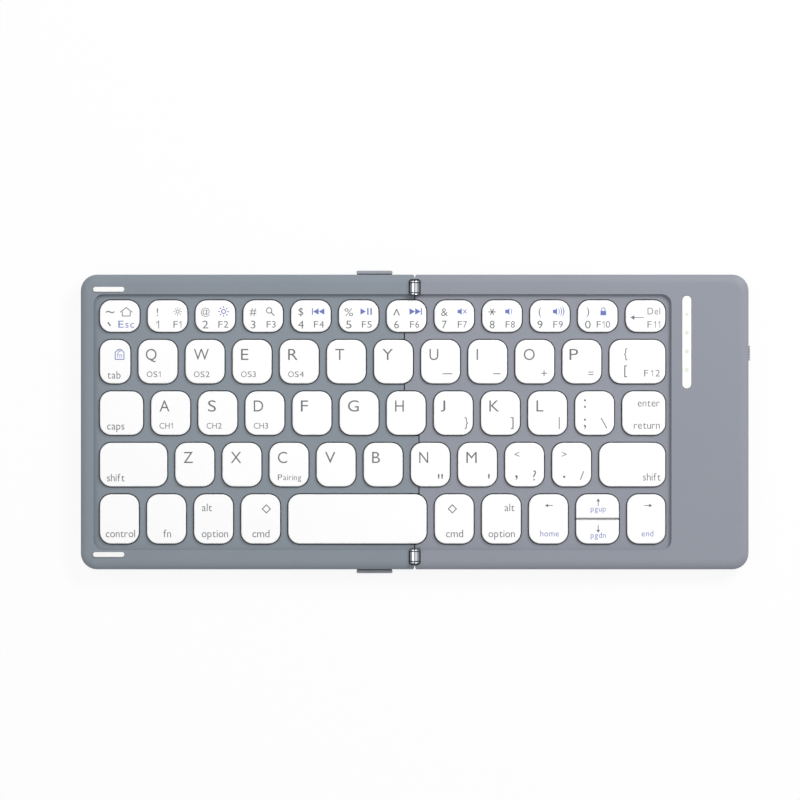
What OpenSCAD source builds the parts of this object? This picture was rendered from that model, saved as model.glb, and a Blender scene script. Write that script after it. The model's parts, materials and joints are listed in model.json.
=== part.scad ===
// Two-part folding keyboard, lying open and flat.
// The right half is the base. The left half folds up and over it about the fold axis, which runs
// front to rear through two knuckle hinges. X runs left to right, Y to the rear and Z up.
// The origin lies under the fold axis, midway front to rear, where the feet stand.

/* [Body] */
// Length of the open keyboard, left to right
body_l = 246.5; // [245:0.5:256]
// Depth of the keyboard, front to rear
body_d = 108.8; // [108:0.2:114]
// Height of each half, from its underside to the top of its rim
half_h = 8; // [7.9:0.1:9]
// Radius of the four outer corners
corner_r = 6; // [5:0.5:8]
// Width of the soft top edge, seen from above
edge_w = 3.6; // [1.6:0.2:3.8]
// Drop of the soft top edge, seen from the side
edge_h = 1.8; // [1:0.1:2.2]
// Side walls of the covers
wall = 1.4; // [1.2:0.1:1.5]
// Floor of the bottom covers
floor_t = 1.2; // [1:0.1:1.3]
// Roof of the plain border at the right of the keys
roof_t = 1.3; // [1:0.1:1.5]
// Gap between the halves along the seam
seam_gap = 0.4; // [0.2:0.05:0.4]
// Gap between the rims when the keyboard is folded shut
closed_gap = 0.6; // [0.5:0.05:0.8]
// Reach of the right half's two comb fingers past the fold axis
finger_reach = 3.8; // [2.5:0.1:4.2]
// Reach of the left half's two webs past the fold axis
web_reach = 1.6; // [1:0.1:2]

/* [Keys] */
// Distance from the left end of the keyboard to the rows of keys
end_margin = 7.1; // [6.8:0.1:7.4]
// Distance from the front and rear edges to the rows of keys
edge_margin = 9.5; // [9.4:0.1:9.8]
// Distance from the Y key to the fold axis
y_to_fold = 0.67; // [0.6:0.01:0.8]
// Reach of the space bar past the fold axis
space_reach = 4.37; // [4.2:0.01:4.6]
// Width of a letter key, for keys that are then stretched alike to fill the rows
letter_w = 14.35; // [14.25:0.05:14.45]
// Gap between neighbouring keys in a row
key_gap = 3.03; // [2.98:0.01:3.08]
// Gap between the rows
row_gap = 2.9; // [2.8:0.05:3]
// Depth of the number keys
number_d = 11.7; // [11.2:0.1:12]
// Depth of the letter keys
letter_d = 16.1; // [15.9:0.1:16.3]
// Depth of the bottom row
bottom_d = 18.2; // [17.8:0.1:18.6]
// Width of the tab key
tab_key_w = 11.2; // [11:0.1:11.5]
// Width of the caps lock key
caps_w = 15.9; // [15.7:0.1:16.1]
// Width of the left shift key
shift_w = 24.8; // [24.6:0.1:25]
// Width of the right bracket key
bracket_w = 20.57; // [20.2:0.01:20.9]
// Width of the up and down keys
arrow_w = 15.8; // [15.4:0.1:16.2]
// Gap between the up key and the down key
arrow_gap = 0.45; // [0.3:0.05:0.7]
// Corner radius of the keycaps
cap_r = 4.2; // [3:0.1:4.3]
// Clearance between a keycap and the deck around it
key_clear = 0.4; // [0.35:0.05:0.5]
// Key travel
travel = 1.5; // [1.2:0.1:1.6]
// Thickness of a keycap's top
cap_t = 1; // [0.8:0.1:1.2]
// Thickness of a keycap's skirt
cap_wall = 0.9; // [0.7:0.1:1.1]
// Bevel round the top of a keycap
cap_bevel = 0.35; // [0.2:0.05:0.5]
// Drop from the top of the rim to the tops of the keycaps
cap_drop = 0.4; // [0.3:0.1:0.6]

/* [Deck] */
// Depth of the well that the keys stand in
well_depth = 1.6; // [1.3:0.1:1.8]
// Thickness of the deck between the keys
deck_t = 1.2; // [1:0.1:1.4]
// Margin between the keys and the wall of the well
well_margin = 2.25; // [2:0.05:2.4]
// Corner radius of the well
well_r = 3.7; // [2.5:0.1:4]

/* [Stack] */
// Thickness of the switch plates
plate_t = 0.5; // [0.4:0.05:0.6]
// Thickness of the contact membranes
membrane_t = 0.3; // [0.2:0.05:0.35]
// Height of the ribs under the switch plates
rib_h = 1; // [0.9:0.1:1.1]
// Thickness of the ribs
rib_t = 0.9; // [0.7:0.1:1.2]
// Height of the rubber feet under the covers
foot_h = 0.6; // [0.5:0.1:1]
// Radius of the rubber feet
foot_r = 4; // [3:0.1:5]
// Radius of the screw bosses
boss_r = 1.9; // [1.7:0.1:2.1]
// Radius of the screw shanks
screw_r = 0.8; // [0.6:0.05:0.9]
// Radius of the screw heads
head_r = 1.5; // [1.3:0.05:1.6]

/* [Hinge] */
// Radius of the hinge knuckles
knuckle_r = 1.8; // [1.6:0.05:1.9]
// Length of each hinge barrel
barrel_l = 5.7; // [5.2:0.1:6]
// Length of the middle knuckle
middle_l = 3.6; // [3:0.1:3.8]
// Radius of the hinge pins
pin_r = 0.7; // [0.5:0.05:0.9]
// Running clearance of the pins in the left knuckles
pin_clear = 0.05; // [0.03:0.01:0.08]
// Clearance between the barrels and their pockets
pocket_clear = 0.4; // [0.35:0.05:0.5]
// Distance of the hinge pockets from the front and rear edges
pocket_inset = 1.7; // [1.5:0.1:2]
// Thickness of the hinge leaves
leaf_t = 0.8; // [0.6:0.05:0.9]
// Reach of the hinge leaves into the covers
leaf_l = 9; // [8:0.5:12]

/* [Locks] */
// Length of the thumb tab of a lock slider
tab_l = 13.3; // [12:0.1:15]
// How far a thumb tab stands out from the edge
tab_out = 1.5; // [1.2:0.1:2]
// Distance from the fold axis to the near end of a thumb tab
tab_from_fold = 8.2; // [7.5:0.1:10]
// Height of a thumb tab
tab_h = 3.2; // [2.6:0.1:3.4]
// Travel of a lock slider
lock_travel = 4; // [3:0.1:4.2]
// Width of a lock bolt
bolt_w = 1.8; // [1.5:0.1:2]
// Height of a lock bolt
bolt_h = 2.2; // [1.8:0.1:2.3]

/* [Power and charging] */
// Length of the power knob along the edge
knob_l = 5.3; // [4.5:0.1:6]
// How far the power knob stands out from the edge
knob_out = 0.7; // [0.5:0.1:1.2]
// Travel of the power knob
knob_travel = 2; // [1.5:0.1:2.5]
// Distance of the power knob behind the middle of the edge
knob_y = 25.4; // [24:0.1:27]
// Distance of the charging socket behind the middle of the edge
socket_y = 8; // [6:0.5:10]
// Width of the charging socket
socket_w = 8.9; // [8.6:0.05:9.1]
// Height of the charging socket
socket_h = 3.2; // [3:0.05:3.3]
// Thickness of the main board
board_t = 0.8; // [0.6:0.1:1]
// Length of the battery
battery_l = 40; // [30:1:41]
// Thickness of the battery
battery_t = 3.8; // [3:0.1:3.9]
// Length of the status window
window_l = 34.2; // [32:0.2:36]
// Width of the status window
window_w = 3.35; // [3:0.05:3.8]
// Distance of the status window from the end of the rows
window_x = 7.9; // [7.4:0.1:8.4]

/* [Bumpers] */
// Length of the bumper strips
bumper_l = 11.6; // [9:0.1:12]
// Width of the bumper strips
bumper_w = 1.85; // [1.5:0.05:2.2]

/* [Hidden] */
LETTERS = ["q", "w", "e", "r", "t", "y", "u", "i", "o", "p", "a", "s", "d", "f", "g", "h", "j",
    "k", "l", "z", "x", "c", "v", "b", "n", "m"];
$fn = 48;

// Colours
grey = [0.56, 0.59, 0.63];
white = [0.96, 0.97, 0.96];
dark = [0.16, 0.17, 0.19];
steel = [0.72, 0.73, 0.75];
chrome = [0.85, 0.86, 0.88];

// Heights, from the feet up
under_z = foot_h;
floor_z = under_z + floor_t;
split_z = floor_z + 0.6;
plate_z = floor_z + rib_h;
sheet_z = plate_z + plate_t;
base_z = sheet_z + membrane_t;
rim_z = under_z + half_h;
deck_z = rim_z - well_depth;
deck_under = deck_z - deck_t;
cap_top = rim_z - cap_drop;
cap_z = base_z + travel + 0.2;
cap_h = cap_top - cap_z;
axis_z = rim_z + closed_gap / 2;
under_r = 0.9;
swing_clear = 0.3;
swing_r = axis_z - swing_clear;

// Rows of keys, rear to front: the depth of each row and the widths of its keys as set above
function total(v, i = 0) = i < len(v) ? v[i] + total(v, i + 1) : 0;
function first(v, n) = [for (i = [0:1:n - 1]) v[i]];
function same(n, w) = [for (i = [1:n]) w];
function filled(v) = concat(v, [set_l - total(v) - len(v) * key_gap]);
letter_pitch = letter_w + key_gap;
set_left = tab_key_w + 6 * letter_pitch + y_to_fold;
set_l = tab_key_w + 10 * letter_w + bracket_w + 11 * key_gap;
space_w = set_left + space_reach - 4 * letter_pitch;
set_d = [number_d, letter_d, letter_d, letter_d, bottom_d];
set_w = [same(12, (set_l - 11 * key_gap) / 12),
    filled(concat([tab_key_w], same(10, letter_w))),
    filled(concat([caps_w], same(10, letter_w))),
    filled(concat([shift_w], same(9, letter_w))),
    filled(concat(same(4, letter_w), [space_w], same(3, letter_w), [arrow_w]))];

// The rows stretched to the keyboard: in x about the fold axis, and in y about the middle
rows_left = body_l / 2 - end_margin;
rows_d = body_d - 2 * edge_margin;
stretch_x = rows_left / set_left;
stretch_y = rows_d / (total(set_d) + 4 * row_gap);
row_l = stretch_x * set_l;
row_w = [for (v = set_w) stretch_x * v];
row_d = stretch_y * set_d;
gap_x = stretch_x * key_gap;
gap_y = stretch_y * row_gap;
function row_y1(r) = rows_d / 2 - total(first(row_d, r)) - r * gap_y;
function row_y0(r) = row_y1(r) - row_d[r];
function key_x0(k) = total(first(row_w[k[0]], k[1])) + k[1] * gap_x - rows_left;
function key_x1(k) = key_x0(k) + row_w[k[0]][k[1]];
function key_x(k) = (key_x0(k) + key_x1(k)) / 2;
function key_y(k) = (row_y0(k[0]) + row_y1(k[0])) / 2;

// Keys by [row, place in the row]
all_keys = [for (r = [0:4]) for (i = [0:len(row_w[r]) - 1]) [r, i]];
left_keys = [for (k = all_keys) if (key_x(k) < 0) k];
right_keys = [for (k = all_keys) if (key_x(k) > 0) k];
space_place = [4, 4];
enter_place = [2, 11];
arrow_place = [4, 8];
y_place = [1, 6];
n_place = [3, 6];
edge_places = [[0, 6], y_place, [2, 6], space_place];
tongue_inset = 0.2;
notch_w = 0.9;
number_left = [for (i = [0:6]) [0, i]];
number_right = [for (i = [7:11]) [0, i]];
side_left = concat([[1, 0], [2, 0], [3, 0]], [for (i = [0:3]) [4, i]]);
side_right = [[1, 11], [2, 10], [3, 8], [3, 9], [3, 10], [4, 5], [4, 6], [4, 7], [4, 9]];
function letter_place(c) = let (n = search([c], LETTERS)[0])
    n < 10 ? [1, n + 1] : n < 19 ? [2, n - 9] : [3, n - 18];

// The well, and the room between the walls
well_x0 = -rows_left - well_margin;
well_x1 = row_l - rows_left + well_margin;
well_y = rows_d / 2 + well_margin;
inner_x = body_l / 2 - wall;
inner_y = body_d / 2 - wall;
bay_x = well_x1 + 1.2;

// Hinges
pocket_y1 = body_d / 2 - pocket_inset;
barrel_y1 = pocket_y1 - pocket_clear + 0.05;
barrel_y0 = barrel_y1 - barrel_l;
pocket_y0 = barrel_y0 - pocket_clear;
pocket_x = knuckle_r + pocket_clear;
knuckle_gap = 0.1;
roll_w = 0.2;
ring_w = 0.15;
ring_in = 0.35;
end_l = (barrel_l - middle_l) / 2 - knuckle_gap;
leaf_z = axis_z - knuckle_r + 0.1;
arm_x = pocket_x - 0.35;
leaf_y0 = well_y + 0.6;
leaf_y1 = barrel_y1 - 0.3;
leaf_screw = [leaf_l - 2.6, leaf_y0 + 1.9];

// Screws
screw_y = body_d / 2 - 4;
screw_x = [0.13 * body_l, 0.305 * body_l, body_l / 2 - 5.4];
thread_clear = 0.05;
sink_z = under_z + floor_t * 0.6;
head_t = 0.6;

// Locks
bolt_y1 = inner_y - 0.2;
bolt_y0 = bolt_y1 - bolt_w;
bolt_z = split_z + 0.2;
bolt_x0 = -tab_from_fold - tab_l + 1.5;
bolt_x1 = -seam_gap / 2 - 0.5;
stem_l = 4.3;
stem_x0 = -tab_from_fold - tab_l + 4.5;
slide_clear = 0.15;
tab_gap = 0.35;

// Power, charging and lights
battery_y0 = 1 + boss_r - screw_y;
battery_y1 = battery_y0 + battery_l;
cable_y0 = rows_d / 2 + key_clear + 0.3;
cable_y1 = cable_y0 + 2.1;
board_z = floor_z + 0.4;
board_x0 = bay_x + 1.5;
board_x1 = inner_x - 1.6;
board_y0 = battery_y1 + 3.5;
board_y1 = cable_y1 + 0.4;
function board_x(share) = board_x0 + share * (board_x1 - board_x0);
function board_y(share) = board_y0 + share * (board_y1 - board_y0);
plug_x = board_x(0.26);
tail_y0 = board_y0 + 4;
tail_w = 8;
chip_h = 1.2;
mouth_z = (split_z + deck_under) / 2;
socket_l = 7.3;
knob_h = 2.4;
window_mid_x = row_l - rows_left + window_x;
window_mid_y = well_y - window_l / 2 - 0.6;
lights_t = 0.6;
light_z = rim_z - roof_t - 1.5;
cable_z = deck_under - 0.7;
cable_t = 0.2;
cable_end = 30;
cable_tab = 3;
foot_places = [for (x = [2.5 * foot_r, body_l / 2 - 2.75 * foot_r]) for (y = [-1, 1])
    [x, y * (body_d / 2 - 2.5 * foot_r)]];

// --- Flat outlines ---

module rounded(w, d, r) {
    square([w - 2 * r, d], center = true);
    square([w, d - 2 * r], center = true);
    for (x = [-1, 1]) for (y = [-1, 1]) translate([x * (w / 2 - r), y * (d / 2 - r)]) circle(r);
}

module key_outline(k, grow) {
    translate([key_x(k), key_y(k)])
        rounded(row_w[k[0]][k[1]] + 2 * grow, row_d[k[0]] + 2 * grow, max(cap_r + grow, 0.3));
}

// The deck round the key of row r beside the seam, from x0 to x1, with the strips before and behind
module comb(r, x0, x1, grow) {
    y0 = row_y1(r + 1) + key_clear - grow;
    y1 = row_y0(r - 1) - key_clear + grow;
    if (x1 > x0) translate([x0, y0]) square([x1 - x0, y1 - y0]);
}

// Broken corners where the seam meets the front and rear edges
module seam_notches(i) {
    for (s = [-1, 1]) translate([0, s * (body_d / 2 - i)]) rotate(45) square(notch_w, center = true);
}

// Each half from above, with every edge moved in by i. A key that overhangs the seam stands on a
// tongue of its own half, and the other half reaches round it like a comb.
module left_plan(i) {
    difference() {
        union() {
            translate([-body_l / 2 + i, -body_d / 2 + i])
                square([body_l / 2 - seam_gap / 2 - 2 * i, body_d - 2 * i]);
            comb(n_place[0], -letter_w, web_reach - seam_gap / 2 - i, -i);
        }
        key_outline(n_place, key_clear + i);
        comb(y_place[0], -finger_reach - seam_gap / 2 - i, body_l, seam_gap + i);
        seam_notches(i);
    }
    for (k = edge_places) key_outline(k, -tongue_inset - i);
}

module right_plan(i) {
    difference() {
        union() {
            translate([seam_gap / 2 + i, -body_d / 2 + i])
                square([body_l / 2 - seam_gap / 2 - 2 * i, body_d - 2 * i]);
            comb(y_place[0], -finger_reach + seam_gap / 2 + i, letter_w, -i);
        }
        for (k = edge_places) key_outline(k, key_clear + i);
        comb(n_place[0], -body_l, web_reach + seam_gap / 2 + i, seam_gap + i);
        seam_notches(i);
    }
    key_outline(n_place, -tongue_inset - i);
}

module plan(side, i) {
    if (side < 0) left_plan(i);
    else right_plan(i);
}

// --- Outer forms ---

// Both top covers as one slab with a soft edge that falls away as a quarter ellipse
module top_form() {
    hull() {
        translate([0, 0, split_z]) slice(0, 32);
        for (a = [0:15:90])
            translate([0, 0, rim_z - edge_h * (1 - sin(a)) - 0.01]) slice(edge_w * (1 - cos(a)), 32);
    }
}

// Both bottom covers as one slab with a small round under-edge
module bottom_form() {
    hull() {
        translate([0, 0, split_z - 0.01]) slice(0, 24);
        for (a = [0:30:90])
            translate([0, 0, under_z + under_r * (1 - cos(a))]) slice(under_r * (1 - sin(a)), 24);
    }
}

module slice(inset, facets) {
    linear_extrude(0.01)
        rounded(body_l - 2 * inset, body_d - 2 * inset, max(corner_r - inset, 1), $fn = facets);
}

// What one half may fill: its own side of the fold axis, and near the axis a round space about it,
// so that tongues and fingers swing clear of the other half and of the table
module swing_room(side) {
    translate([side > 0 ? 0 : -body_l, -body_d, -1]) cube([body_l, 2 * body_d, rim_z + 5]);
    translate([0, body_d, axis_z]) rotate([90, 0, 0]) cylinder(h = 2 * body_d, r = swing_r);
}

// Cuts repeated at the front and at the rear
module both_edges() {
    children();
    mirror([0, 1, 0]) children();
}

module box(x0, x1, y0, y1, z0, z1) {
    translate([x0, y0, z0]) cube([x1 - x0, y1 - y0, z1 - z0]);
}

// --- Covers ---

module key_cuts(side) {
    for (k = side < 0 ? left_keys : right_keys)
        translate([0, 0, split_z - 1]) linear_extrude(rim_z) key_outline(k, key_clear);
}

module well_cut() {
    translate([(well_x0 + well_x1) / 2, 0, deck_z])
        linear_extrude(rim_z) rounded(well_x1 - well_x0, 2 * well_y, well_r);
}

module hinge_cuts(side) {
    translate([0, (pocket_y0 + pocket_y1) / 2, axis_z - knuckle_r - 0.2])
        linear_extrude(rim_z) rounded(2 * pocket_x, pocket_y1 - pocket_y0, 1.1);
    mirror([side < 0 ? 1 : 0, 0, 0]) {
        box(pocket_x - 0.5, leaf_l + 0.2, leaf_y0 - 0.05, leaf_y1 + 0.05,
            leaf_z - 0.05, leaf_z + leaf_t + 0.05);
        translate([leaf_screw[0], leaf_screw[1], deck_under - 1])
            cylinder(h = leaf_z - deck_under + 1.5, r = screw_r + thread_clear);
    }
}

module lock_cuts() {
    // way of the bolt through the walls along the seam
    box(-wall - 2, wall + 2, bolt_y0 - slide_clear, bolt_y1 + slide_clear,
        bolt_z - slide_clear, bolt_z + bolt_h + slide_clear);
    // slot of the stem through the side wall
    box(stem_x0 - slide_clear, stem_x0 + stem_l + lock_travel + slide_clear, inner_y - 0.5,
        body_d, bolt_z, bolt_z + bolt_h - 0.1);
}

module boss(x, y) {
    translate([x, y, floor_z]) cylinder(h = deck_under - floor_z + 0.5, r = boss_r);
}

module boss_hole(x, y) {
    translate([x, y, floor_z - 1]) cylinder(h = deck_under - floor_z + 1.5, r = screw_r + thread_clear);
}

module top_cover(side) {
    difference() {
        union() {
            difference() {
                intersection() {
                    top_form();
                    translate([0, 0, split_z]) linear_extrude(rim_z) plan(side, 0);
                    swing_room(side);
                }
                translate([0, 0, split_z - 1])
                    linear_extrude(deck_under - split_z + 1) plan(side, wall);
                well_cut();
                key_cuts(side);
                both_edges() hinge_cuts(side);
                if (side > 0) bay_cut();
            }
            for (x = screw_x) for (y = [-1, 1]) boss(side * x, y * screw_y);
            if (side > 0) light_posts();
        }
        for (x = screw_x) for (y = [-1, 1]) boss_hole(side * x, y * screw_y);
        if (side < 0) bumper_slots();
        if (side < 0) both_edges() lock_cuts();
        if (side > 0) both_edges() socket_for_bolt();
        if (side > 0) right_edge_cuts();
        both_edges() cable_way(3 * wall);
    }
}

module right_top_cover() color(grey) top_cover(1);
module left_top_cover() color(grey) top_cover(-1);

module socket_for_bolt() {
    box(-1, wall + 2, bolt_y0 - slide_clear, bolt_y1 + slide_clear,
        bolt_z - slide_clear, bolt_z + bolt_h + slide_clear);
}

module cable_way(half) {
    box(-half, half, cable_y0 - 0.2, cable_y1 + 0.2, cable_z - 0.3, cable_z + cable_t + 0.3);
}

// Room for the battery and the main board under the plain border, and the status window's slot
module bay_cut() {
    box(bay_x, inner_x, -screw_y + boss_r, screw_y - boss_r, split_z - 1, rim_z - roof_t);
    translate([window_mid_x, window_mid_y, deck_under])
        linear_extrude(rim_z) rounded(window_w + 0.1, window_l + 0.1, window_w / 2);
}

module light_posts() {
    for (y = [-1, 1])
        translate([window_mid_x, window_mid_y + y * (window_l / 2 + 1.45), light_z + lights_t])
            cylinder(h = rim_z - roof_t - light_z, r = 0.8);
}

module right_edge_cuts() {
    // mouth of the charging socket
    translate([inner_x - 1, socket_y, mouth_z]) rotate([90, 0, 90])
        linear_extrude(wall + 2) rounded(socket_w + 0.3, socket_h + 0.3, (socket_h + 0.3) / 2 - 0.01);
    // slot of the power knob
    box(inner_x - 0.5, body_l, knob_y - knob_l / 2 - knob_travel - slide_clear,
        knob_y + knob_l / 2 + slide_clear, mouth_z - knob_h / 2 - slide_clear,
        mouth_z + knob_h / 2 + slide_clear);
}

module bumper_outline(clear) {
    translate([-body_l / 2 + 10.4, body_d / 2 - 5.5])
        rounded(bumper_l + clear, bumper_w + clear, (bumper_w + clear) / 2 - 0.01);
}

module bumper_slots() {
    both_edges() translate([0, 0, rim_z - 0.8]) linear_extrude(2) bumper_outline(0.1);
}

module bottom_cover(side) {
    difference() {
        union() {
            difference() {
                intersection() {
                    bottom_form();
                    linear_extrude(rim_z) plan(side, 0);
                    swing_room(side);
                }
                translate([0, 0, floor_z]) linear_extrude(rim_z) plan(side, wall);
            }
            intersection() {
                seats(side);
                swing_room(side);
            }
            ribs(side);
            if (side > 0) board_posts();
            if (side < 0) both_edges() lock_guide();
        }
        for (x = screw_x) for (y = [-1, 1]) translate([side * x, y * screw_y, 0]) {
            cylinder(h = rim_z, r = screw_r + 0.15);
            cylinder(h = sink_z, r = head_r + 0.15);
        }
        for (p = foot_places) translate([side * p[0], p[1], 0])
            cylinder(h = under_z + 0.35, r = foot_r + 0.1);
    }
}

module right_bottom_cover() color(grey) bottom_cover(1);
module left_bottom_cover() color(grey) bottom_cover(-1);

// Solid beds under the keys that overhang the seam
module seats(side) {
    translate([0, 0, under_z + 0.3]) linear_extrude(plate_z - under_z - 0.3) intersection() {
        if (side < 0) for (k = edge_places) key_outline(k, -0.3);
        else key_outline(n_place, -0.3);
        translate([-finger_reach, -body_d / 2]) square([3 * finger_reach, body_d]);
    }
}

// Ribs that carry the switch plate, along the strips between the rows and across them
module ribs(side) {
    pitch = stretch_x * letter_pitch;
    intersection() {
        translate([0, 0, floor_z - 0.1]) linear_extrude(rib_h + 0.1) plan(side, wall + 0.15);
        union() {
            for (r = [0:3]) {
                y = (row_y0(r) + row_y1(r + 1)) / 2;
                box(side < 0 ? well_x0 : -5, side < 0 ? 5 : well_x1, y - rib_t / 2, y + rib_t / 2,
                    0, rim_z);
            }
            for (i = [1, 3, 5]) {
                x = side * (i * pitch + 3.5);
                box(x - rib_t / 2, x + rib_t / 2, -rows_d / 2, rows_d / 2, 0, rim_z);
            }
        }
    }
}

module board_posts() {
    for (x = [board_x0 + 1.5, board_x1 - 1.5]) for (y = [board_y0 + 1.5, board_y1 - 1.5])
        translate([x, y, floor_z - 0.2]) cylinder(h = board_z - floor_z + 0.2, r = 1.2);
}

// Runway and inner rail of a lock bolt
module lock_guide() {
    x0 = bolt_x0 - 2;
    x1 = -seam_gap / 2 - wall - 0.15;
    box(x0, x1, bolt_y0 - 0.2 - rib_t, bolt_y0 - 0.2, floor_z - 0.2, bolt_z + bolt_h - 0.3);
    box(x0, x1, bolt_y0 - 0.3, inner_y, floor_z - 0.2, split_z);
}

// --- Switch plates, membranes and key supports ---

module sheet_outline(side, i) {
    intersection() {
        plan(side, wall + i);
        translate([well_x0 - 0.5, -well_y + 0.6]) square([well_x1 - well_x0, 2 * well_y - 1.2]);
    }
}

module switch_plate(side) {
    color(steel) translate([0, 0, plate_z]) linear_extrude(plate_t) difference() {
        sheet_outline(side, 0.3);
        for (k = side < 0 ? left_keys : right_keys) for (y = [-1, 1])
            translate([key_x(k), key_y(k) + y * 3.4]) square([2.4, 0.8], center = true);
    }
}

module right_switch_plate() switch_plate(1);
module left_switch_plate() switch_plate(-1);

module right_membrane() color([0.75, 0.8, 0.7]) {
    translate([0, 0, sheet_z]) linear_extrude(membrane_t) {
        sheet_outline(1, 0.6);
        translate([well_x1 - 2, tail_y0]) square([board_x0 + 4 - well_x1, tail_w]);
    }
}

module left_membrane() color([0.75, 0.8, 0.7]) {
    translate([0, 0, sheet_z]) linear_extrude(membrane_t) sheet_outline(-1, 0.6);
}

// A rubber dome and a crossed pair of frames between the membrane and the top of a keycap
module key_support(x, y, w, d) {
    room = cap_top - cap_t - base_z;
    arm_l = min(9.6, w - 2.6);
    arm_w = min(8.4, d - 3.3);
    arm_t = 0.8;
    tilt = asin((room - arm_t - 0.1) / arm_l);
    translate([x, y, base_z + room / 2]) {
        for (s = [[1, arm_l, arm_w], [-1, arm_l - 0.1, max(arm_w - 2.2, 2.6)]]) rotate([0, s[0] * tilt, 0])
            difference() {
                cube([s[1], s[2], arm_t], center = true);
                cube([s[1] - 2, s[2] - 1.8, 2], center = true);
            }
    }
    dome_r = arm_w > 7 ? 1.9 : 1;
    translate([x, y, base_z]) cylinder(h = room - 0.05, r1 = dome_r, r2 = dome_r - 0.5);
}

module key_supports(side) {
    for (k = side < 0 ? left_keys : right_keys) {
        w = row_w[k[0]][k[1]];
        d = row_d[k[0]];
        if (k == arrow_place) for (y = [-1, 1]) key_support(key_x(k), key_y(k) + y * d / 4, w, d / 2);
        else if (k == space_place) for (x = [-1:1]) key_support(key_x(k) + x * w / 3, key_y(k), w / 3, d);
        else key_support(key_x(k), key_y(k), w, d);
    }
}

module right_key_supports() color([0.9, 0.9, 0.88]) key_supports(1);
module left_key_supports() color([0.9, 0.9, 0.88]) key_supports(-1);

// --- Keycaps ---

// A rounded slab whose top edge is bevelled, with true cones at the corners
module soft_slab(w, d, h, r, b) {
    for (x = [-1, 1]) for (y = [-1, 1]) translate([x * (w / 2 - r), y * (d / 2 - r)])
        rotate_extrude() polygon([[0, 0], [r, 0], [r, h - b], [r - b, h], [0, h]]);
    rotate([90, 0, 90]) translate([0, 0, r - w / 2]) linear_extrude(w - 2 * r) slab_side(d, h, b);
    rotate([90, 0, 0]) translate([0, 0, r - d / 2]) linear_extrude(d - 2 * r) slab_side(w, h, b);
}

module slab_side(w, h, b) {
    polygon([[-w / 2, 0], [w / 2, 0], [w / 2, h - b], [w / 2 - b, h], [b - w / 2, h], [-w / 2, h - b]]);
}

module keycap(k) {
    w = row_w[k[0]][k[1]];
    d = row_d[k[0]];
    color(white) translate([key_x(k), key_y(k), cap_z]) difference() {
        soft_slab(w, d, cap_h, cap_r, cap_bevel);
        translate([0, 0, -1]) linear_extrude(cap_h - cap_t + 1)
            rounded(w - 2 * cap_wall, d - 2 * cap_wall, cap_r - cap_wall);
    }
}

// The up key and the down key: a key of full depth parted across the middle
module arrow_caps() {
    k = arrow_place;
    w = row_w[k[0]][k[1]];
    d = row_d[k[0]];
    color(white) translate([key_x(k), key_y(k), cap_z]) both_edges() difference() {
        intersection() {
            soft_slab(w, d, cap_h, cap_r, cap_bevel);
            box(-w, w, arrow_gap / 2, d, 0, cap_h);
        }
        translate([0, d / 4 + arrow_gap / 4, -1]) linear_extrude(cap_h - cap_t + 1)
            rounded(w - 2 * cap_wall, d / 2 - arrow_gap / 2 - 2 * cap_wall, cap_r - cap_wall);
    }
}

module number_keys_left() for (k = number_left) keycap(k);
module number_keys_right() for (k = number_right) keycap(k);
module side_keys_left() for (k = side_left) keycap(k);
module side_keys_right() {
    for (k = side_right) keycap(k);
    arrow_caps();
}
module space_key() keycap(space_place);
module enter_key() keycap(enter_place);
module letter_key(c) keycap(letter_place(c));

// --- Hinges ---

// A rolled knuckle, with the seam where its sheet closes along the top
module knuckle(y0, l, hole) {
    translate([0, y0 + l, axis_z]) rotate([90, 0, 0]) difference() {
        cylinder(h = l, r = knuckle_r);
        translate([0, 0, -1]) cylinder(h = l + 2, r = hole);
        translate([-roll_w / 2, knuckle_r - roll_w, -1]) cube([roll_w, 2 * roll_w, l + 2]);
    }
}

// A groove round an end knuckle
module ring_groove(y0) {
    translate([0, y0 + ring_w, axis_z]) rotate([90, 0, 0]) difference() {
        cylinder(h = ring_w, r = 2 * knuckle_r);
        translate([0, 0, -1]) cylinder(h = ring_w + 2, r = knuckle_r - ring_w);
    }
}

module leaf_hole() {
    translate([leaf_screw[0], leaf_screw[1], leaf_z - 1]) cylinder(h = leaf_t + 2, r = screw_r);
}

module pin_way(r) {
    translate([0, barrel_y1 + 1, axis_z]) rotate([90, 0, 0]) cylinder(h = barrel_l + 2, r = r);
}

// The right leaf carries the two end knuckles, and the left leaf the middle one
module right_leaf() {
    middle_y0 = barrel_y0 + end_l;
    difference() {
        union() {
            knuckle(barrel_y0, end_l, pin_r);
            knuckle(barrel_y1 - end_l, end_l, pin_r);
            box(0, arm_x, barrel_y0, middle_y0, leaf_z, leaf_z + leaf_t);
            box(0, arm_x, barrel_y1 - end_l, barrel_y1, leaf_z, leaf_z + leaf_t);
            box(arm_x - 0.2, arm_x, barrel_y0, barrel_y1, leaf_z, leaf_z + leaf_t);
            box(arm_x - 0.1, leaf_l, leaf_y0, leaf_y1, leaf_z, leaf_z + leaf_t);
        }
        leaf_hole();
        pin_way(pin_r);
        ring_groove(barrel_y0 + ring_in);
        ring_groove(barrel_y1 - ring_in - ring_w);
    }
}

module left_leaf() {
    difference() {
        union() {
            knuckle(barrel_y0 + end_l + knuckle_gap, middle_l, pin_r + pin_clear);
            mirror([1, 0, 0]) {
                box(0, pocket_x, barrel_y0 + end_l + knuckle_gap,
                    barrel_y1 - end_l - knuckle_gap, leaf_z, leaf_z + leaf_t);
                box(arm_x - 0.1, leaf_l, leaf_y0, leaf_y1, leaf_z, leaf_z + leaf_t);
            }
        }
        mirror([1, 0, 0]) leaf_hole();
        pin_way(pin_r + pin_clear);
    }
}

module right_hinge_leaves() color(chrome) both_edges() right_leaf();
module left_hinge_leaves() color(chrome) both_edges() left_leaf();

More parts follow.
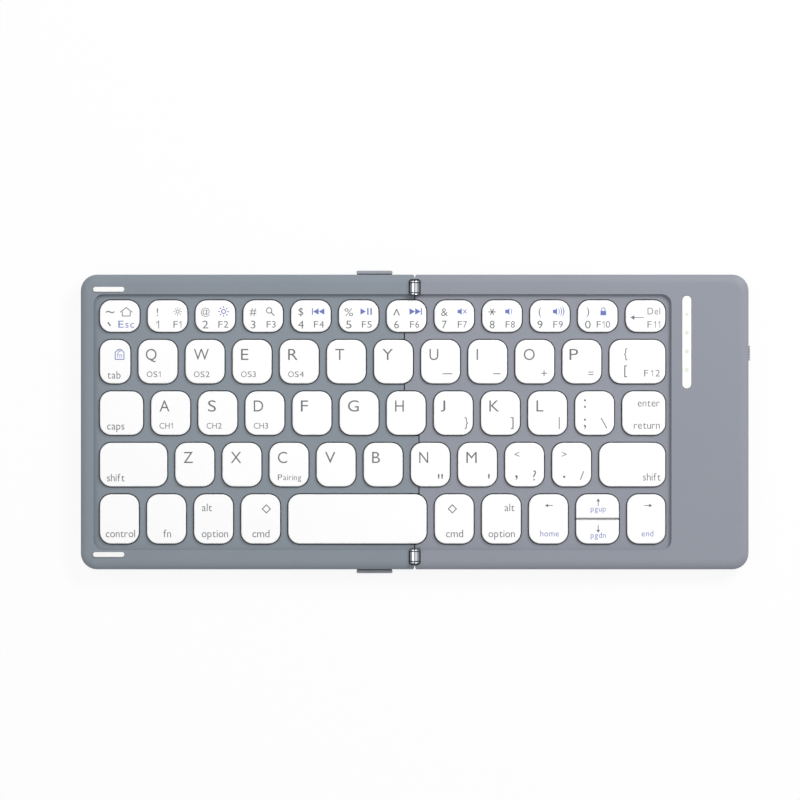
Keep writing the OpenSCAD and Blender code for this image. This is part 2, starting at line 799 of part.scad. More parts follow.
module hinge_pins() color(steel) both_edges()
    translate([0, barrel_y1, axis_z]) rotate([90, 0, 0]) cylinder(h = barrel_l, r = pin_r);

// --- Screws and feet ---

module screw(z0, length) {
    difference() {
        union() {
            translate([0, 0, z0]) cylinder(h = head_t, r = head_r);
            translate([0, 0, z0 + head_t]) cylinder(h = length, r = screw_r);
        }
        for (a = [0, 90]) rotate([0, 0, a]) translate([-0.9, -0.2, z0 - 1]) cube([1.8, 0.4, 1.3]);
    }
}

module half_screws(side) {
    for (x = screw_x) for (y = [-1, 1]) translate([side * x, y * screw_y, 0])
        screw(sink_z - head_t, deck_under - sink_z + 0.2);
    both_edges() translate([side * leaf_screw[0], leaf_screw[1], 0])
        screw(deck_under - head_t, leaf_z + leaf_t - deck_under);
}

module right_screws() color(steel) half_screws(1);
module left_screws() color(steel) half_screws(-1);

module foot() {
    cylinder(h = 0.3, r1 = foot_r - 0.3, r2 = foot_r);
    translate([0, 0, 0.3]) cylinder(h = under_z + 0.3 - 0.3, r = foot_r);
}

module right_feet() color(dark) for (p = foot_places) translate(p) foot();
module left_feet() color(dark) for (p = foot_places) translate([-p[0], p[1]]) foot();

module left_bumpers() {
    color(white) both_edges() translate([0, 0, rim_z - 0.8])
        linear_extrude(0.8 + closed_gap - 0.05) bumper_outline(0);
}

// --- Locks ---

module lock_slider() {
    tab_z0 = bolt_z + bolt_h / 2 - tab_h / 2;
    // thumb tab outside the wall
    translate([-tab_from_fold - tab_l / 2, body_d / 2 + (tab_gap + tab_out) / 2, tab_z0])
        linear_extrude(tab_h) rounded(tab_l, tab_out - tab_gap, 0.5);
    // stem through the slot
    box(stem_x0, stem_x0 + stem_l, bolt_y1 - 0.2, body_d / 2 + tab_gap + 0.2,
        bolt_z + slide_clear, bolt_z + bolt_h - 0.1 - slide_clear);
    // bolt behind the wall
    box(bolt_x0, bolt_x1 - 0.6, bolt_y0, bolt_y1, bolt_z, bolt_z + bolt_h);
    box(bolt_x1 - 0.7, bolt_x1, bolt_y0 + 0.3, bolt_y1 - 0.3, bolt_z + 0.3, bolt_z + bolt_h - 0.3);
}

module rear_lock() color(grey) lock_slider();
module front_lock() color(grey) mirror([0, 1, 0]) lock_slider();

// --- Power, charging and lights ---

module battery() color([0.75, 0.77, 0.8]) {
    translate([(bay_x + inner_x) / 2, battery_y1, floor_z + battery_t / 2]) rotate([90, 0, 0])
        linear_extrude(battery_l) rounded(inner_x - bay_x - 1.4, battery_t, 1.4);
    box(bay_x + 4, inner_x - 4, battery_y1, battery_y1 + 2, floor_z + 0.6, floor_z + 2.6);
}

module main_board() {
    color([0.1, 0.35, 0.25]) difference() {
        box(board_x0, board_x1, board_y0, board_y1, board_z, board_z + board_t);
        box(body_l / 2 - socket_l - 0.9, body_l, socket_y - socket_w / 2 - 0.2,
            socket_y + socket_w / 2 + 0.2, 0, rim_z);
    }
    color(dark) {
        box(board_x(0.35), board_x(0.57), board_y(0.46), board_y(0.56),
            board_z + board_t, board_z + board_t + 0.9);
        box(board_x(0.09), board_x(0.35), board_y(0.65), board_y(0.88),
            board_z + board_t, board_z + board_t + chip_h);
        box(plug_x - 1.2, plug_x + 1, cable_y0 - 0.3, cable_y1 + 0.2,
            board_z + board_t, board_z + board_t + chip_h);
        box(board_x(0.11), board_x(0.24), board_y(0.33), board_y(0.39),
            board_z + board_t, board_z + board_t + 0.8);
    }
    color(white) {
        box(board_x0 + 0.2, board_x0 + 3.8, tail_y0 - 0.5, tail_y0 + tail_w + 0.5,
            board_z + board_t, sheet_z);
        box(board_x(0.26), board_x(0.53), board_y0 + 0.5, board_y0 + 3.5,
            board_z + board_t, board_z + board_t + 1.5);
    }
}

// A shell open to the right, with its contact tongue
module charging_socket() color(chrome)
    translate([body_l / 2 - 0.25, socket_y, mouth_z]) rotate([90, 0, -90]) {
    difference() {
        linear_extrude(socket_l) rounded(socket_w, socket_h, socket_h / 2 - 0.01);
        translate([0, 0, -1]) linear_extrude(socket_l)
            rounded(socket_w - 0.6, socket_h - 0.6, socket_h / 2 - 0.31);
    }
    translate([0, 0, 1]) linear_extrude(socket_l - 1.7) square([socket_w - 2.2, 0.7], center = true);
}

module power_switch() color(dark) difference() {
    box(board_x1 - 4.4, board_x1, knob_y - 4.6, knob_y + 2.6, board_z + board_t, mouth_z + 1.1);
    box(board_x1 - 2.4, board_x1 + 1, knob_y - 1.1 - knob_travel, knob_y + 1.1,
        mouth_z - 0.5, mouth_z + 0.5);
}

module power_knob() color(dark) {
    difference() {
        box(inner_x - 0.4, body_l / 2 + knob_out, knob_y - knob_l / 2, knob_y + knob_l / 2,
            mouth_z - knob_h / 2, mouth_z + knob_h / 2);
        for (i = [-2:2])
            box(body_l / 2 + knob_out - 0.3, body_l, knob_y + i - 0.2, knob_y + i + 0.2, 0, rim_z);
    }
    box(inner_x - 0.8, inner_x - 0.15, knob_y - knob_l / 2 - 0.8, knob_y + knob_l / 2 + 0.8,
        mouth_z - knob_h / 2 - 0.3, mouth_z + knob_h / 2 + 0.3);
    box(board_x1 - 2, inner_x - 0.5, knob_y - 0.9, knob_y + 0.9, mouth_z - 0.35, mouth_z + 0.35);
}

module status_window() color(white) translate([window_mid_x, window_mid_y, 0]) {
    translate([0, 0, rim_z - roof_t - 0.1])
        linear_extrude(roof_t + 0.05) rounded(window_w, window_l, window_w / 2 - 0.01);
    translate([0, 0, rim_z - roof_t - 0.5])
        linear_extrude(0.5) rounded(window_w + 1, window_l + 1, window_w / 2);
}

module status_lights() translate([window_mid_x, window_mid_y, light_z]) {
    color([0.1, 0.35, 0.25]) linear_extrude(lights_t)
        square([window_w + 0.8, window_l + 3.6], center = true);
    color(white) for (i = [-1.5:1.5])
        translate([-0.6, i * window_l / 5 - 0.8, lights_t - 0.1]) cube([1.2, 1.6, 0.4]);
}

// A flat ribbon from the left membrane, under the rear hinge, to the main board
module link_cable() color([0.85, 0.55, 0.2]) {
    box(-cable_end, plug_x, cable_y0, cable_y1, cable_z, cable_z + cable_t);
    box(-cable_end, -cable_end + cable_t, cable_y0, cable_y1, base_z, cable_z + cable_t);
    box(-cable_end - cable_tab, -cable_end + cable_t, cable_y0, cable_y1, base_z, base_z + cable_t);
    box(plug_x - cable_t, plug_x, cable_y0, cable_y1,
        board_z + board_t + chip_h, cable_z + cable_t);
}

right_top_cover();
right_bottom_cover();
right_switch_plate();
right_membrane();
right_key_supports();
right_hinge_leaves();
hinge_pins();
right_screws();
right_feet();
battery();
main_board();
charging_socket();
power_switch();
power_knob();
status_window();
status_lights();
link_cable();
left_top_cover();
left_bottom_cover();
left_switch_plate();
left_membrane();
left_key_supports();
left_hinge_leaves();
left_screws();
left_feet();
left_bumpers();
rear_lock();
front_lock();
number_keys_left();
number_keys_right();
side_keys_left();
side_keys_right();
space_key();
enter_key();
for (c = LETTERS) letter_key(c);
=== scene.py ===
# Folding keyboard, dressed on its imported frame: caps, legends, covers, hinges and small parts
import json
import math
import bpy
from mathutils import Matrix, Vector


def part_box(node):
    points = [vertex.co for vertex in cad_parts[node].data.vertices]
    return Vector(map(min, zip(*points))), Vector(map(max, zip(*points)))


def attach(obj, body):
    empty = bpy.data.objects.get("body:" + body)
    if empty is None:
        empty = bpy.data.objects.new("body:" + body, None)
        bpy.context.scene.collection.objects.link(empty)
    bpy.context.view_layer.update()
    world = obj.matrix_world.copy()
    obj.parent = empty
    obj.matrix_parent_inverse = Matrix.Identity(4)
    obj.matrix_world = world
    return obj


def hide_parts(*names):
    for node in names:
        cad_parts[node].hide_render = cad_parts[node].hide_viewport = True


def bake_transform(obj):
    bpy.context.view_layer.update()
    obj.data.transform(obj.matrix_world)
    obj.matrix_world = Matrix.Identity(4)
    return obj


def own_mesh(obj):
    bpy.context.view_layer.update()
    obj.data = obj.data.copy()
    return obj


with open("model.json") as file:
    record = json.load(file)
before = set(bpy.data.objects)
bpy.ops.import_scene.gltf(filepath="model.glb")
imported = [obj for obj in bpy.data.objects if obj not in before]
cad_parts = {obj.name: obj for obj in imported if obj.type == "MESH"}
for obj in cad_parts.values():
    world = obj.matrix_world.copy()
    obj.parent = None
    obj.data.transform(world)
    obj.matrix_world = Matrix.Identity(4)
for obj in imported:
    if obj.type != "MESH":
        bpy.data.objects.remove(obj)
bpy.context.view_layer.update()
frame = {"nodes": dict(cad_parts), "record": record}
nodes = frame["nodes"]
record = frame["record"]
mm = 0.001
bodyOf = {node: body for body, group in record["behaviour"]["bodies"].items() for node in group}
slotOf = {part["node"]: part["material_slot"] for part in record["subparts"]}
print("frame loaded:", len(nodes), "nodes")


# --- small tools ---

def pick(piece):
    if bpy.context.object and bpy.context.object.mode != "OBJECT":
        bpy.ops.object.mode_set(mode="OBJECT")
    bpy.ops.object.select_all(action="DESELECT")
    piece.select_set(True)
    bpy.context.view_layer.objects.active = piece
    return piece


def settle(piece):
    pick(piece)
    bpy.ops.object.transform_apply(location=True, rotation=True, scale=True)
    return piece


def join(pieces, name):
    pick(pieces[0])
    for piece in pieces:
        piece.select_set(True)
    if len(pieces) > 1:
        bpy.ops.object.join()
    pieces[0].name = name
    pieces[0].data.name = name
    return pieces[0]


def editPicked(piece, edges=None, faces=None):  # into edit mode with what passes the test selected
    pick(piece)
    mesh = piece.data
    bpy.context.tool_settings.mesh_select_mode = (False, edges is not None, faces is not None)
    for group in (mesh.vertices, mesh.edges, mesh.polygons):
        for part in group:
            part.select = False
    if edges:
        for edge in mesh.edges:
            ends = [mesh.vertices[i] for i in edge.vertices]
            if edges(ends[0].co, ends[1].co):
                edge.select = True
                for end in ends:
                    end.select = True
    if faces:
        for face in mesh.polygons:
            if faces(face):
                face.select = True
                for i in face.vertices:
                    mesh.vertices[i].select = True
    bpy.ops.object.mode_set(mode="EDIT")


def modify(piece, kind, **values):
    pick(piece)
    modifier = piece.modifiers.new(kind.lower(), kind)
    for key, value in values.items():
        setattr(modifier, key, value)
    bpy.ops.object.modifier_apply(modifier=modifier.name)


def everyFace(face):
    return True


def shade(piece, angle=32):  # soft across gentle edges, with flats kept flat
    pick(piece)
    bpy.ops.object.shade_smooth_by_angle(angle=math.radians(angle))
    modify(piece, "WEIGHTED_NORMAL", keep_sharp=True, weight=50)


def linked(mesh, name):
    piece = bpy.data.objects.new(name, mesh)
    bpy.context.scene.collection.objects.link(piece)
    return piece


def dress(piece, finish, body, slot, *replaced):
    piece.data.materials.clear()
    piece.data.materials.append(finish)
    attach(piece, body)
    if replaced:
        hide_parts(*replaced)
    return piece


# --- finishes ---

def linear(red, green, blue):  # a screen tone of 0 to 255 as the shader takes it
    values = [c / 255 for c in (red, green, blue)]
    return [c / 12.92 if c <= 0.04045 else ((c + 0.055) / 1.055) ** 2.4 for c in values] + [1]


def makeFinish(name, look):
    finish = bpy.data.materials.new(name)
    finish.use_nodes = True
    tree = finish.node_tree
    shader = tree.nodes["Principled BSDF"]
    for socket, value in look.get("fixed", {}).items():
        shader.inputs[socket].default_value = value
    place = tree.nodes.new("ShaderNodeTexCoord")
    mapping = tree.nodes.new("ShaderNodeMapping")
    mapping.inputs["Scale"].default_value = look.get("stretch", (1, 1, 1))
    tree.links.new(place.outputs["Object"], mapping.inputs["Vector"])
    cloud = tree.nodes.new("ShaderNodeTexNoise")  # slow drift of tone and gloss
    cloud.inputs["Scale"].default_value = 1 / (look["cloud"] * mm)
    cloud.inputs["Detail"].default_value = 3
    tree.links.new(mapping.outputs["Vector"], cloud.inputs["Vector"])
    tone = tree.nodes.new("ShaderNodeMix")
    tone.data_type = "RGBA"
    tone.inputs["A"].default_value = linear(*look["dark"])
    tone.inputs["B"].default_value = linear(*look["light"])
    tree.links.new(cloud.outputs["Fac"], tone.inputs["Factor"])
    tree.links.new(tone.outputs["Result"], shader.inputs["Base Color"])
    gloss = tree.nodes.new("ShaderNodeMapRange")
    gloss.inputs["To Min"].default_value = look["rough"][0]
    gloss.inputs["To Max"].default_value = look["rough"][1]
    tree.links.new(cloud.outputs["Fac"], gloss.inputs["Value"])
    tree.links.new(gloss.outputs["Result"], shader.inputs["Roughness"])
    grain = tree.nodes.new("ShaderNodeTexNoise")  # moulded or brushed grain
    grain.inputs["Scale"].default_value = 1 / (look["grain"] * mm)
    grain.inputs["Detail"].default_value = 2
    tree.links.new(mapping.outputs["Vector"], grain.inputs["Vector"])
    bump = tree.nodes.new("ShaderNodeBump")
    bump.inputs["Strength"].default_value = look["bump"]
    bump.inputs["Distance"].default_value = look.get("depth", 0.02) * mm
    tree.links.new(grain.outputs["Fac"], bump.inputs["Height"])
    tree.links.new(bump.outputs["Normal"], shader.inputs["Normal"])
    return finish


looks = {
    "rightPlastic": dict(dark=(136, 140, 150), light=(142, 145, 155), rough=(0.5, 0.6), cloud=40,
                         grain=0.22, bump=0.25, depth=0.015, fixed={"Specular IOR Level": 0.35}),
    # painted shade: the left covers take a darker copy of the cover plastic, standing in for the
    # light that falls off towards the left
    "leftShadedPlastic": dict(dark=(126, 134, 143), light=(133, 141, 150), rough=(0.5, 0.6), cloud=40,
                        grain=0.22, bump=0.25, depth=0.015, fixed={"Specular IOR Level": 0.35}),
    "keyPlastic": dict(dark=(249, 249, 249), light=(253, 253, 253), rough=(0.42, 0.5), cloud=14,
                       grain=0.16, bump=0.12, depth=0.01, fixed={"Specular IOR Level": 0.4}),
    "legendGrey": dict(dark=(96, 98, 103), light=(108, 110, 115), rough=(0.5, 0.6), cloud=3,
                       grain=0.1, bump=0.1, depth=0.01),
    "legendBlue": dict(dark=(92, 104, 176), light=(106, 118, 188), rough=(0.5, 0.6), cloud=3,
                       grain=0.1, bump=0.1, depth=0.01),
    "hingeChrome": dict(dark=(196, 198, 202), light=(226, 228, 231), rough=(0.1, 0.2), cloud=1.5,
                        grain=0.08, bump=0.06, depth=0.01, stretch=(1, 0.15, 1),
                        fixed={"Metallic": 1}),
    # painted shade: a near-black steel for the hinge leaves' flats, ends, joints and roll groove
    "leafPaintedShade": dict(dark=(34, 36, 42), light=(50, 53, 60), rough=(0.35, 0.5), cloud=3,
                      grain=0.12, bump=0.2, depth=0.01, fixed={"Metallic": 0.5}),
    "turnedSteel": dict(dark=(150, 152, 156), light=(178, 180, 184), rough=(0.28, 0.4), cloud=2,
                        grain=0.09, bump=0.2, depth=0.01, stretch=(1, 1, 4),
                        fixed={"Metallic": 1}),
    "plateSteel": dict(dark=(140, 145, 152), light=(162, 166, 173), rough=(0.35, 0.5), cloud=20,
                       grain=0.3, bump=0.2, depth=0.01, stretch=(0.05, 1, 1),
                       fixed={"Metallic": 1}),
    "footRubber": dict(dark=(40, 41, 44), light=(52, 53, 56), rough=(0.7, 0.85), cloud=3,
                       grain=0.2, bump=0.5, depth=0.03),
    # painted shadow: a near-black finish for the strips that stand in for the shadow in the tab
    # gaps
    "lipPaintedShade": dict(dark=(14, 17, 22), light=(22, 26, 32), rough=(0.6, 0.75), cloud=3,
                      grain=0.2, bump=0.4, depth=0.02),
    "bumperRubber": dict(dark=(243, 243, 242), light=(252, 252, 251), rough=(0.5, 0.6), cloud=4,
                         grain=0.15, bump=0.2, depth=0.01),
    "windowPlastic": dict(dark=(242, 246, 238), light=(250, 253, 247), rough=(0.3, 0.38), cloud=6,
                          grain=0.2, bump=0.08, depth=0.01),
    "markInk": dict(dark=(214, 222, 208), light=(226, 232, 220), rough=(0.4, 0.5), cloud=1,
                    grain=0.1, bump=0.1, depth=0.01),
    "darkPlastic": dict(dark=(118, 121, 128), light=(134, 137, 144), rough=(0.45, 0.55), cloud=3,
                        grain=0.15, bump=0.25, depth=0.01),
    "tabPlastic": dict(dark=(140, 144, 152), light=(152, 155, 163), rough=(0.4, 0.5), cloud=5,
                       grain=0.2, bump=0.25, depth=0.01),
    "innerPlastic": dict(dark=(214, 214, 210), light=(232, 232, 228), rough=(0.4, 0.5), cloud=4,
                         grain=0.2, bump=0.15, depth=0.01),
    "membraneFilm": dict(dark=(150, 160, 170), light=(172, 182, 190), rough=(0.3, 0.45), cloud=8,
                         grain=0.4, bump=0.1, depth=0.01),
    "boardGreen": dict(dark=(24, 84, 62), light=(34, 104, 78), rough=(0.3, 0.45), cloud=2,
                       grain=0.5, bump=0.3, depth=0.03, stretch=(1, 0.3, 1)),
    "batteryFoil": dict(dark=(172, 176, 184), light=(198, 202, 208), rough=(0.3, 0.5), cloud=5,
                        grain=0.6, bump=0.3, depth=0.03, fixed={"Metallic": 0.6}),
    "ribbonFilm": dict(dark=(34, 33, 35), light=(48, 46, 48), rough=(0.25, 0.35), cloud=2,
                       grain=0.12, bump=0.4, depth=0.02, stretch=(0.01, 1, 1)),
}
finishes = {name: makeFinish(name, look) for name, look in looks.items()}
finishOfSlot = {
    "cover": "rightPlastic", "keycap": "keyPlastic", "key_support": "innerPlastic",
    "steel_plate": "plateSteel", "membrane": "membraneFilm", "hinge_chrome": "hingeChrome",
    "pin_steel": "turnedSteel", "foot_rubber": "footRubber", "bumper_rubber": "bumperRubber",
    "battery_wrap": "batteryFoil", "circuit_board": "boardGreen", "dark_plastic": "darkPlastic",
    "tab_plastic": "tabPlastic", "window_plastic": "windowPlastic", "ribbon": "ribbonFilm"}


def finishOf(node):
    # painted shade: left covers get the darker copy of the same plastic
    if slotOf[node] == "cover" and node.startswith("left"):
        return finishes["leftShadedPlastic"]
    return finishes[finishOfSlot[slotOf[node]]]


for name, node in nodes.items():
    node.data.materials.clear()
    node.data.materials.append(finishOf(name))
print("finishes ready:", len(finishes))


# --- covers, hinges and small parts: softened copies of their solids ---

def solidBoxes(node):  # the box of each separate solid in a node, rear row first, left to right
    mesh = nodes[node].data
    roots = {}

    def root(spot):
        while roots.setdefault(spot, spot) != spot:
            spot = roots[spot]
        return spot

    spots = [tuple(round(c * 1e6) for c in v.co) for v in mesh.vertices]
    for face in mesh.polygons:
        first = root(spots[face.vertices[0]])
        for i in face.vertices[1:]:
            roots[root(spots[i])] = first
    groups = {}
    for spot, vertex in zip(spots, mesh.vertices):
        groups.setdefault(root(spot), []).append(vertex.co)
    boxes = [(Vector([min(c[i] for c in g) for i in range(3)]),
              Vector([max(c[i] for c in g) for i in range(3)])) for g in groups.values()]
    return sorted(boxes, key=lambda b: (-round(b[1].y, 3), b[0].x))


softLook = dict(weld=0.0005, flat=0.6, edgeFrom=40)


def softCopy(node):  # with its triangles merged into flat faces
    piece = pick(linked(nodes[node].data.copy(), "soft_" + node))
    bpy.ops.object.mode_set(mode="EDIT")
    bpy.ops.mesh.select_all(action="SELECT")
    bpy.ops.mesh.customdata_custom_splitnormals_clear()
    bpy.ops.mesh.remove_doubles(threshold=softLook["weld"] * mm)
    bpy.ops.mesh.dissolve_limited(angle_limit=math.radians(softLook["flat"]))
    bpy.ops.object.mode_set(mode="OBJECT")
    return piece


# where the painted shade goes on the hinge leaves
leafShadeLook = dict(top=8.05, axis=8.9, round=1.785, roll=0.25, end=0.25, joint=1.0, jointHalf=0.19,
                level=0.7)
softEdges = {  # width of the softened edge and the number of its steps
    "right_top_cover": (0.0, 1), "left_top_cover": (0.0, 1),
    "right_bottom_cover": (0.0, 1), "left_bottom_cover": (0.0, 1),
    "right_hinge_leaves": (0.12, 2), "left_hinge_leaves": (0.12, 2),
    "rear_lock": (0.3, 3), "front_lock": (0.3, 3),
    "status_window": (0.12, 2), "power_knob": (0.08, 2),
    "right_feet": (0.12, 2), "left_feet": (0.12, 2),
    "right_screws": (0.05, 1), "left_screws": (0.05, 1), "charging_socket": (0.05, 1)}
pinEnds = [(low.y / mm, high.y / mm) for low, high in solidBoxes("hinge_pins")]


def paintShadeOnLeaves(piece):  # painted shade: the flats, roll groove, joints and ends beside the plated barrels get a near-black steel that stands in for the shade in the pocket round the barrels, with the joints partly real dark gaps
    end, joint, half = (leafShadeLook[k] for k in ("end", "joint", "jointHalf"))
    for inside in (end, joint - half, joint + half):
        for spot in [y for low, high in pinEnds for y in (low + inside, high - inside)]:
            editPicked(piece, faces=everyFace)
            bpy.ops.mesh.bisect(plane_co=(0, spot * mm, 0), plane_no=(0, 1, 0))
    pick(piece)
    # the dark finish that paints the shade on the leaves
    piece.data.materials.append(finishes["leafPaintedShade"])
    for face in piece.data.polygons:
        x, y, z = face.center / mm
        inside = max(min(y - low, high - y) for low, high in pinEnds)
        rolled = (abs(x) < leafShadeLook["roll"]
                  and math.hypot(x, z - leafShadeLook["axis"]) < leafShadeLook["round"])
        lying = z < leafShadeLook["top"] and abs(face.normal.z) > leafShadeLook["level"]
        if rolled or lying or inside < end or abs(inside - joint) < half:
            face.material_index = 1


for node, (width, steps) in softEdges.items():
    piece = softCopy(node)
    if width:
        modify(piece, "BEVEL", width=width * mm, segments=steps, limit_method="ANGLE",
               angle_limit=math.radians(softLook["edgeFrom"]), use_clamp_overlap=True)
    dress(piece, finishOf(node), bodyOf[node], slotOf[node], node)
    if node.endswith("leaves"):
        paintShadeOnLeaves(piece)
    shade(piece)
print("covers and small parts softened:", len(softEdges))


# --- corner fills: they close the slits where the hollow breaks through the outer corners ---

fillLook = dict(corner=6, radius=5.94, inner=4.9, low=1.7, high=6.2, steps=32)
cut = fillLook["inner"] * mm / math.sqrt(2)
for half, way in (("left", -1), ("right", 1)):
    low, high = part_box(half + "_top_cover")
    fills = []
    for side in (-1, 1):
        x = (high.x if way > 0 else low.x) - way * fillLook["corner"] * mm
        y = side * (high.y - fillLook["corner"] * mm)
        bpy.ops.mesh.primitive_cylinder_add(
            vertices=fillLook["steps"], radius=fillLook["radius"] * mm,
            depth=(fillLook["high"] - fillLook["low"]) * mm,
            location=(x, y, (fillLook["high"] + fillLook["low"]) / 2 * mm))
        fill = settle(bpy.context.object)
        editPicked(fill, faces=everyFace)
        bpy.ops.mesh.bisect(plane_co=(x + way * cut, y + side * cut, 0),
                            plane_no=(way, side, 0), use_fill=True, clear_inner=True)
        fills.append(pick(fill))
    fill = join(fills, half + "_corner_fills")
    shade(fill)
    dress(fill, finishOf(half + "_top_cover"), half + "_half", "cover")
print("corner fills made")


# --- painted shadow: dark strips in the gaps between the thumb tabs and the covers, standing in for the shadow there ---

# sizes of the painted-shadow strips that fill the gaps behind the thumb tabs
shadeStripLook = dict(clear=0.05, deep=0.5, side=0.15, under=0.3, down=0.05, edge=0.15, edgeSteps=2)
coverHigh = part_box("left_bottom_cover")[1].y / mm
for name, way in (("rear_lock", 1), ("front_lock", -1)):
    tab = [v.co / mm for v in nodes[name].data.vertices if abs(v.co.y) / mm > coverHigh]
    low, high = (Vector([f(c[i] for c in tab) for i in range(3)]) for f in (min, max))
    bpy.ops.mesh.primitive_cube_add(size=mm)
    shadeStrip = bpy.context.object
    shadeStrip.name = name + "_shade_strip"
    shadeStrip.scale = (high.x - low.x - 2 * shadeStripLook["side"], shadeStripLook["deep"],
                 high.z - low.z - shadeStripLook["under"] - shadeStripLook["down"])
    shadeStrip.location = ((low.x + high.x) / 2 * mm,
                    way * (coverHigh + shadeStripLook["clear"] + shadeStripLook["deep"] / 2) * mm,
                    (low.z + high.z + shadeStripLook["under"] - shadeStripLook["down"]) / 2 * mm)
    settle(shadeStrip)
    modify(shadeStrip, "BEVEL", width=shadeStripLook["edge"] * mm, segments=shadeStripLook["edgeSteps"],
           limit_method="ANGLE")
    shade(shadeStrip)
    dress(shadeStrip, finishes["lipPaintedShade"], name, slotOf[name])
print("tab lips made")


# --- keycaps ---

capLook = dict(corner=4.2, tight=0.35, halfDepth=9, arrowMiddle=-32, cornerSteps=9,
               edge=0.42, edgeSteps=3, wall=0.9, top=1, shade=40,
               outer=0.49, level=0.9)  # how far out an edge lies, and how level a face
bumperLook = dict(corner=0.02, edge=0.25)  # the corner stops this short of a half circle
capShapes = {}  # each shape is modelled once
keyNodes = [n for n in nodes if slotOf[n] == "keycap"]
keyBoxes = {n: solidBoxes(n) for n in keyNodes}


def softBlock(size, corners, edge, hollow):  # corners are the radii at the rear and the front
    width, depth, height = size
    outer = capLook["outer"]
    bpy.ops.mesh.primitive_cube_add(size=1)
    block = bpy.context.object
    block.scale = size
    settle(block)
    for side, corner in zip((1, -1), corners):
        editPicked(block, edges=lambda a, b: abs(a.z - b.z) > height / 2 and a.y * side > 0
                   and abs(a.y) > depth * outer and abs(a.x) > width * outer)
        bpy.ops.mesh.bevel(offset=corner * mm, segments=capLook["cornerSteps"], affect="EDGES")
    editPicked(block, edges=lambda a, b: min(a.z, b.z) > height * outer)
    bpy.ops.mesh.bevel(offset=edge * mm, segments=capLook["edgeSteps"], affect="EDGES")
    if hollow:
        editPicked(block, faces=lambda face: face.normal.z < -capLook["level"])
        bpy.ops.mesh.inset(thickness=capLook["wall"] * mm)
        bpy.ops.mesh.extrude_region_move(
            TRANSFORM_OT_translate={"value": (0, 0, height - capLook["top"] * mm)})
    shade(block, capLook["shade"])
    mesh = block.data
    bpy.data.objects.remove(block)
    return mesh


def makeBlock(low, high, corners, edge, hollow):
    size = high - low
    sort = tuple(round(c, 5) for c in size) + corners
    if sort not in capShapes:
        capShapes[sort] = softBlock(size, corners, edge, hollow)
    mesh = capShapes[sort].copy()
    mesh.transform(Matrix.Translation((low + high) / 2))
    return linked(mesh, "block")


def makeCap(low, high):
    corners = [capLook["corner"]] * 2
    if high.y - low.y < capLook["halfDepth"] * mm:  # two short keys share one outline
        corners[1 if high.y > capLook["arrowMiddle"] * mm else 0] = capLook["tight"]
    return makeBlock(low, high, tuple(corners), capLook["edge"], True)


for node in keyNodes:
    caps = join([makeCap(*box) for box in keyBoxes[node]], "cap_" + node.replace("key_", "", 1))
    dress(caps, finishes["keyPlastic"], bodyOf[node], "keycap", node)
bumpers = [makeBlock(low, high, ((high.y - low.y) / 2 / mm - bumperLook["corner"],) * 2,
                     bumperLook["edge"], False)
           for low, high in solidBoxes("left_bumpers")]
dress(join(bumpers, "bumpers"), finishes["bumperRubber"], "left_half", "bumper_rubber",
      "left_bumpers")
print("keycaps made:", sum(len(b) for b in keyBoxes.values()), "of", len(capShapes), "shapes")


# --- legends: flat pieces on the caps, placed in mm from a cap's rear left corner ---

legendLook = dict(letter=4.1, word=2.75, small=2.1, digit=2.85, function=2.4, arrowWord=2.2,
                  lift=0.02, step=0.001, layers=8, bold=-0.004, narrow=0.93, gap=0.12, line=0.34,
                  curveSteps=4, ringSides=20)
oneLook = dict(thick=0.1, x=0.36, flagX=0.2, flagY=0.81, flagTurn=0.7, flagLong=0.42,
               flagThick=0.09)
legendParts = []
legendSpot = dict(corner=Vector((0, 0, 0)))
glyphs = {}  # each glyph is modelled once
glyphWidths = {  # how much wider than in the typeface
    "B": 1.12, "E": 1.25, "F": 1.3, "G": 1.15, "J": 1.8, "K": 1.12, "L": 1.15, "M": 1.08,
    "N": 0.94, "P": 1.34, "Q": 0.97, "R": 1.22, "S": 1.38, "T": 1.05, "V": 1.15, "W": 0.95,
    "Y": 1.18, "0": 1.15, "2": 1.22, "3": 1.15, "4": 1.13, "5": 1.3, "9": 1.1, "%": 1.22}


def flat(mesh, matrix, blue):  # a flat mesh made in key millimetres goes to its place
    piece = linked(mesh, "legend")
    layer = len(legendParts) % legendLook["layers"]  # pieces that cross lie a step apart
    rise = Vector((0, 0, layer * legendLook["step"] * mm))
    mesh.transform(Matrix.Translation(legendSpot["corner"] + rise)
                   @ Matrix.Diagonal((mm, mm, mm, 1)) @ matrix)
    mesh.materials.clear()
    mesh.materials.append(finishes["legendBlue" if blue else "legendGrey"])
    legendParts.append(piece)


def typed(text):  # one letter as a flat mesh
    bpy.ops.object.text_add()
    piece = bpy.context.object
    piece.data.body = text
    piece.data.offset = legendLook["bold"]
    piece.data.resolution_u = legendLook["curveSteps"]
    pick(piece)
    bpy.ops.object.convert(target="MESH")
    mesh = bpy.context.object.data
    bpy.data.objects.remove(bpy.context.object)
    return mesh


def flagged():  # a one with its flag
    bpy.ops.mesh.primitive_plane_add(size=1, location=(oneLook["x"], 0.5, 0))
    stem = bpy.context.object
    stem.scale = (oneLook["thick"], 1, 1)
    bpy.ops.mesh.primitive_plane_add(size=1, location=(oneLook["flagX"], oneLook["flagY"], 0),
                                     rotation=(0, 0, oneLook["flagTurn"]))
    flag = bpy.context.object
    flag.scale = (oneLook["flagLong"], oneLook["flagThick"], 1)
    mesh = join([settle(stem), settle(flag)], "one").data
    bpy.data.objects.remove(bpy.context.object)
    return mesh


